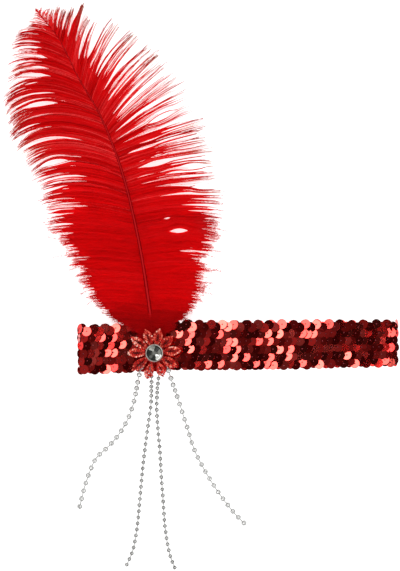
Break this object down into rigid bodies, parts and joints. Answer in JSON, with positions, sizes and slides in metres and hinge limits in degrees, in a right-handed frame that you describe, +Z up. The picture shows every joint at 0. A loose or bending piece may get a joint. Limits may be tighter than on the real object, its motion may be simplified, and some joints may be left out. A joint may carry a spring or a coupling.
{
  "type": "flapper feather headband",
  "caption": "Stretch sequin headband folded flat, with an ostrich plume, a beaded loop flower round a rhinestone, and hanging bead strands.",
  "frame": {"origin": "under the middle of the folded band's length and width, on the flat underside of its back layer", "axes": "+X along the band away from the flower, +Y towards the plume, +Z up off the surface it lies on, towards the front"},
  "size_m": [0.2745, 0.3986, 0.0208],
  "materials": {
    "sequins": "metallised red cup sequins",
    "plume": "dyed feather, soft and matt",
    "felt": "dark red felt",
    "elastic": "dark red knitted elastic",
    "thread": "pale twisted thread",
    "seed_beads": "translucent red glass beads",
    "setting": "bright silver plate",
    "stone": "clear foiled cut stone",
    "clear_beads": "clear grey beads",
    "silver_beads": "bright silver beads"
  },
  "bodies": {
    "root": {"sequin_band": "sequins", "ostrich_plume": "plume", "flower_backing": "felt", "petal_01": "seed_beads", "petal_02": "seed_beads", "petal_03": "seed_beads", "petal_04": "seed_beads", "petal_05": "seed_beads", "petal_06": "seed_beads", "petal_07": "seed_beads", "petal_08": "seed_beads", "petal_09": "seed_beads", "petal_10": "seed_beads", "stone_setting": "setting", "rhinestone": "stone", "strand_outer_left": "clear_beads", "strand_outer_right": "clear_beads", "strand_inner_left": "silver_beads", "strand_inner_right": "silver_beads"}
  },
  "joints": []
}
